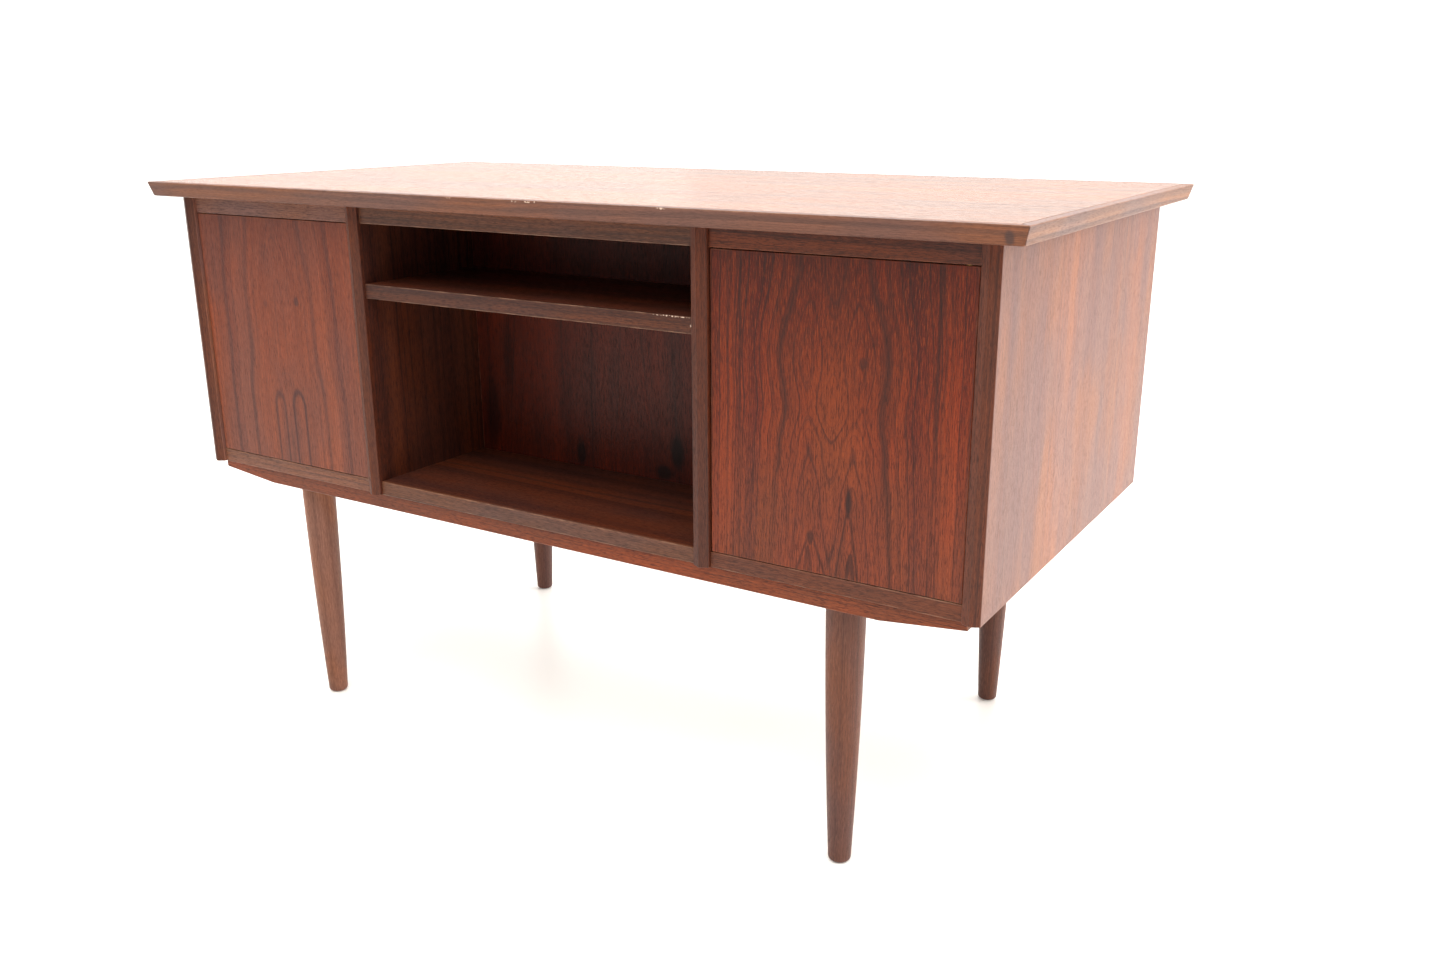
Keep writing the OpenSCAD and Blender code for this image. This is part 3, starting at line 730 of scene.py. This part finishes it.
SMALL_HEAD = 2.2 * MM  # radius of a small screw's head
SMALL_LENGTH = 12 * MM
PROUD = 0.05 * MM  # how far the small screws' heads stand out
RUNNER_THICKNESS = 7 * MM
RUNNER_MARGIN = 18 * MM  # from a runner's end to its first screw
LATCH_HEAD = 1.9 * MM
LATCH_MARGIN = 2.6 * MM
PLATE_SCREWS = (4 * MM, 11 * MM)  # from a pivot plate's end


def runner_screws(bm):
    """Three screws in each drawer runner."""
    low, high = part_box("drawer_runners")
    outer = high[X]
    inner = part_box("right_divider")[1][X]
    middle = (low[Y] + high[Y]) / 2
    for level in LEVELS:
        drawer_low, drawer_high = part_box(f"right_{level}_drawer_box")
        z = (drawer_low[Z] + drawer_high[Z]) / 2
        for y in (low[Y] + RUNNER_MARGIN, middle, high[Y] - RUNNER_MARGIN):
            for sign in (-1, 1):
                for wall, inward in ((outer, -1), (inner, 1)):
                    face = wall + inward * (RUNNER_THICKNESS + PROUD)
                    tip = face - inward * SMALL_LENGTH
                    add_screw(bm, (sign * face, y, z), (sign * tip, y, z), SMALL_HEAD)


def latch_screws(bm):
    """One long screw through the back of each latch housing into its divider."""
    low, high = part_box("latch_bodies")
    y = high[Y] - LATCH_MARGIN
    z = (low[Z] + high[Z]) / 2
    face = high[X] + PROUD
    tip = face - 2 * SMALL_LENGTH
    for sign in (-1, 1):
        add_screw(bm, (sign * face, y, z), (sign * tip, y, z), LATCH_HEAD)


def make_small_screws(material):
    """The screws of the runners, latches and pivot plates."""
    on_case = bmesh.new()
    runner_screws(on_case)
    latch_screws(on_case)
    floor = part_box("right_floor")[1][Z]
    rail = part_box("right_top_rail")[0][Z]
    for side, sign in zip(SIDES, (-1, 1)):
        low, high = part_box("right_door_pivots")
        y = (low[Y] + high[Y]) / 2
        on_door = bmesh.new()
        for inset in PLATE_SCREWS:
            x = sign * (low[X] + inset)
            for bm, z, up in (
                (on_case, floor, 1),
                (on_case, rail, -1),
                (on_door, low[Z], -1),
                (on_door, high[Z], 1),
            ):
                head = (x, y, z + up * PROUD)
                add_screw(bm, head, (x, y, z - up * SMALL_LENGTH), SMALL_HEAD)
        mesh_object(f"{side}_door_pivot_screws", on_door, f"{side}_door", "steel", material)
    mesh_object("case_small_screws", on_case, "case", "steel", material)


# ---- The desk ----

NOSE = 5.5 * MM  # how far the panel noses stand out beyond their shoulders
LIPPING = 4 * MM  # depth of the floors' and the shelf's solid front edges
CHIP_DROP = 1.5 * MM  # how far below the top surface its chips lie
CHIP_REACH = (3 * MM, 1.1 * MM)  # back from the arris and down
LIPPING_ROUND = 1.2 * MM
RAIL_ROUND = 1.5 * MM

# Place along X and reach of each chip in the top's front arris.
TOP_CHIPS = ((-0.061, 0.003), (0.034, 0.004), (0.053, 0.005), (0.063, 0.003), (0.225, 0.007))


def make_top():
    boards = Wood(
        TOP_TEAK, X, Y, waver=0.03, broad=30, band_depth=0.6, sheen_roughness=0.2,
        lines=((0.11, 0.004, 0.3), (0.21, 0.035, 0.3), (-0.13, 0.05, 0.2)),
        glows=((0.03, 0.09, 0.12), (-0.24, 0.05, 0.12)),
    )
    wooden("top_panel", boards, 11, radius=0.2 * MM, wear=0.1)
    long_grain = dict(lean=1.0, broad=90, band_depth=0.4, pore_depth=0.35, fleck_depth=0.2)
    edge = Wood(GREY_TEAK, X, Y, spots=((-0.007, 0.5845, 0.006, 0.005, 0.85),), **long_grain)
    low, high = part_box("top_front_lipping")
    arris = (low[Y], high[Z] - CHIP_DROP)
    worn = [((x, *arris), (reach, *CHIP_REACH)) for x, reach in TOP_CHIPS]
    wooden("top_front_lipping", edge, 21, radius=LIPPING_ROUND, chips=worn)
    wooden("top_back_lipping", Wood(GREY_TEAK, X, Y, **long_grain), 22, radius=LIPPING_ROUND)
    for index, side in enumerate(SIDES):
        mauve = Wood(MAUVE_TEAK, Y, X, **long_grain)
        wooden(f"top_{side}_lipping", mauve, 25 + index, radius=LIPPING_ROUND)


def make_case():
    uprights = {"left": BROWN_TEAK, "right": RUST_TEAK}
    edges = {"left": GREY_TEAK, "right": BROWN_TEAK}
    # The left rail's palette is a lighter copy of the rail wood with a painted reflection in it.
    rails = {"left": PAINTED_REFLECTION_RAIL_TEAK, "right": DEEP_TEAK}
    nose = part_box("left_end_panel")[1][Y] - NOSE
    front = -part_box("bookcase_floor")[0][Y]
    lipped = front - LIPPING
    outside = Wood(
        TAN_TEAK, Z, Y, waver=0.012, pore_depth=0.5, band_depth=0.25, fine_depth=0.2, fleck_depth=0.2,
        lines=((-0.230, 0.0015, 0.4), (-0.23, 0.11, 0.35), (0.085, 0.014, 0.25), (0.135, 0.006, 0.2)),
        glows=((-0.055, 0.07, 0.14), (0.2, 0.05, 0.12)),
    )
    inside = Wood(DEEP_TEAK, Z, Y, waver=0.03)
    flat = Wood(DEEP_TEAK, X, Y, waver=0.03)
    for index, side in enumerate(SIDES):
        upright_edge = Wood(uprights[side], Z, X, lean=1.0)
        wooden(f"{side}_end_panel", outside, 41 + index, edge=(upright_edge, Y, nose))
        wooden(f"{side}_divider", inside, 51 + index, edge=(upright_edge, Y, nose))
        board_edge = Wood(edges[side], X, Z, lean=1.0)
        wooden(f"{side}_floor", flat, 61 + index, edge=(board_edge, Y, lipped))
        wooden(f"{side}_top_rail", Wood(rails[side], X, Z), 71 + index, wear=0.1)
        wooden(f"{side}_partition", Wood(DEEP_TEAK, Z, X), 81 + index)
        wooden(f"back_{side}_base_rail", Wood(RAIL_TEAK, X, Z), 93 + index, radius=RAIL_ROUND)
    wooden("bookcase_floor", flat, 63, edge=(Wood(EDGE_TEAK, X, Z), Y, lipped))
    shelf_wear = (
        ((0.214, -front, 0.6055), (0.026, 0.002, 0.0008)),
        ((0.239, -front, 0.5975), (0.0015, 0.002, 0.004)),
    )
    # The shelf's solid edge is darkened with painted shade.
    wooden("shelf", flat, 64, edge=(Wood(PAINTED_SHADE_EDGE_TEAK, X, Z), Y, lipped), chips=shelf_wear)
    wooden("bookcase_top_rail", Wood(EDGE_TEAK, X, Z), 73)
    back = Wood(
        BACK_TEAK, Z, X, crowns=(-0.16, 0.02), reach=0.06,
        profile=((0.0, 0.05), (0.6, 0.02), (1.0, 0.0)), band_depth=0.35, fine_depth=0.2,
        spots=((-0.068, -0.148, 0.009, 0.022, 0.9), (0.088, -0.125, 0.012, 0.026, 0.95),
               (0.066, -0.155, 0.016, 0.012, 0.9), (-0.190, -0.030, 0.012, 0.050, 0.5),
               (-0.222, -0.110, 0.014, 0.050, 0.65)),
    )
    wooden("bookcase_back", back, 83)
    wooden("front_base_rail", Wood(RAIL_TEAK, X, Z), 91, radius=RAIL_ROUND)


def make_doors():
    # Each door is painted lighter towards its bottom (painted light) and darker towards its top (painted
    # shade).
    left = Wood(
        PINK_TEAK, Z, X,
        crowns=(-0.002,), tip=0.014, reach=0.11,
        profile=((0.0, 0.034), (0.28, 0.033), (0.47, 0.017), (0.69, 0.017), (1.0, 0.0)),
        streaks=((0.0515, 0.0080, 0.6), (0.100, 0.005, 0.5)),
        arches=((-0.019, -0.069, 0.008, 0.0, 0.7), (0.018, -0.063, 0.011, 0.0, 0.85)),
        spots=((-0.028, 0.051, 0.004, 0.006, 0.4), (0.032, 0.058, 0.005, 0.007, 0.7)),
        arch_width=0.0042, painted_light_and_shade=(0.04, 0.3), waver=0.008, band_depth=0.25, pore_depth=0.45,
    )
    right = Wood(
        RED_TEAK, Z, X,
        crowns=(-0.028, 0.020), tip=0.004, join=0.028, reach=0.070,
        profile=((0.0, 0.046), (0.25, 0.036), (0.40, 0.026), (0.54, 0.012), (0.69, 0.018), (0.98, 0.0)),
        spread=(-0.004, 0.060, 0.075, 0.060, 0.20),
        streaks=((0.0135, 0.0055, 0.8), (0.030, 0.003, 0.3)),
        lines=((-0.126, 0.0020, 0.5), (-0.111, 0.0030, 0.65), (0.104, 0.0040, 0.75)),
        glows=((0.126, 0.016, 0.15),),
        arches=((0.0165, -0.095, 0.003, 0.15, 0.6), (-0.025, -0.119, 0.003, 0.36, 0.6)),
        spots=((0.028, 0.062, 0.006, 0.007, 0.6), (0.0165, -0.080, 0.004, 0.018, 0.95),
               (-0.025, -0.126, 0.003, 0.008, 0.7), (0.053, 0.030, 0.008, 0.130, 0.35)),
        pales=((-0.004, 0.020, 0.035, 0.080, 0.7), (0.018, -0.040, 0.020, 0.030, 0.5)),
        painted_light_and_shade=(0.06, 0.65), waver=0.007, ripple=0.003, bands=260, band_depth=0.75, pore_depth=0.55,
        fleck_depth=0.5,
    )
    wooden("left_door", left, 101, wear=0.2)
    wooden("right_door", right, 102, wear=0.2)


def make_legs():
    for index, place in enumerate(("front_left", "front_right", "back_left", "back_right")):
        node = place + "_leg"
        low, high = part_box(node)
        # The front left leg gets a lighter copy of the leg wood: painted light.
        palette = PAINTED_LIGHT_LEG_TEAK if place == "front_left" else LEG_TEAK
        wood = Wood(palette, Z, X, lean=0.8, band_depth=0.3, fine_depth=0.15, pore_depth=0.35)
        turned(node, wood_material(node + "_wood", wood, low, high, 111 + index, wear=0.8))


def make_drawers():
    for side_index, side in enumerate(SIDES):
        for level_index, level in enumerate(LEVELS):
            drawer = f"{side}_{level}_drawer"
            seed = 121 + 3 * side_index + level_index
            front = Wood(PINK_TEAK, X, Z, crowns=(0.01,), profile=((0.0, 0.02), (0.5, 0.0), (1.0, 0.025)))
            wooden(drawer + "_front", front, seed, shape=dict(shortest=60 * MM, curved=True))
            wooden(drawer + "_box", Wood(BEECH, Y, Z), seed + 10, radius=0.5 * MM, wear=0.1)
            wooden(drawer + "_bottom", Wood(PLYWOOD, X, Y), seed + 20, radius=0.2 * MM, wear=0.0)


def make_fittings():
    brass = metal_material("worn_brass", rgb(168, 134, 82), rgb(104, 78, 48), 201)
    steel = metal_material("dull_steel", rgb(196, 196, 196), rgb(120, 118, 116), 202)
    plastic = plastic_material("brown_latch_plastic", rgb(70, 44, 30), 203)
    turned("case_pivots", brass)
    for side in SIDES:
        softened(f"{side}_door_pivots", brass, 0.2 * MM, shortest=2 * MM)
        softened(f"{side}_door_strike", steel, 0.25 * MM, shortest=2 * MM)
        softened(f"{side}_latch_plunger", plastic, 0.3 * MM, shortest=2 * MM)
    softened("latch_bodies", plastic, 0.6 * MM, shortest=2 * MM)
    for node in ("leg_studs", "leg_inserts", "shelf_pins"):
        turned(node, steel if SLOTS[node] == "steel" else brass)
    beech = Wood(BEECH, Y, Z)
    wooden("drawer_runners", beech, 204, radius=0.5 * MM)
    low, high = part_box("dowels")
    turned("dowels", wood_material("dowel_wood", Wood(BEECH, X, Z), low, high, 205, wear=0.0))
    make_case_screws(steel)
    make_small_screws(steel)


FLOOR_SIZE = 12  # half the floor's width
FLOOR_GLOW = 0.15  # keeps the floor as white as a lit studio's


def make_floor():
    bm = bmesh.new()
    bmesh.ops.create_grid(bm, x_segments=4, y_segments=4, size=FLOOR_SIZE)
    g = Graph("studio_floor")
    cloud = g.noise(g.vector(*g.place()[:3]), 3.0)
    colour = g.mix(cloud, rgb(240, 237, 231), rgb(246, 244, 239))
    glow = dict(Emission_Color=rgb(255, 252, 246), Emission_Strength=FLOOR_GLOW)
    material = g.finish(colour, g.plus(g.times(cloud, 0.1), 0.3), **glow)
    mesh = bpy.data.meshes.new("studio_floor")
    bm.to_mesh(mesh)
    bm.free()
    mesh.materials.append(material)
    floor = bpy.data.objects.new("studio_floor", mesh)
    bpy.context.scene.collection.objects.link(floor)


make_camera()
make_light()
make_floor()
make_top()
make_case()
make_doors()
make_legs()
make_drawers()
make_fittings()
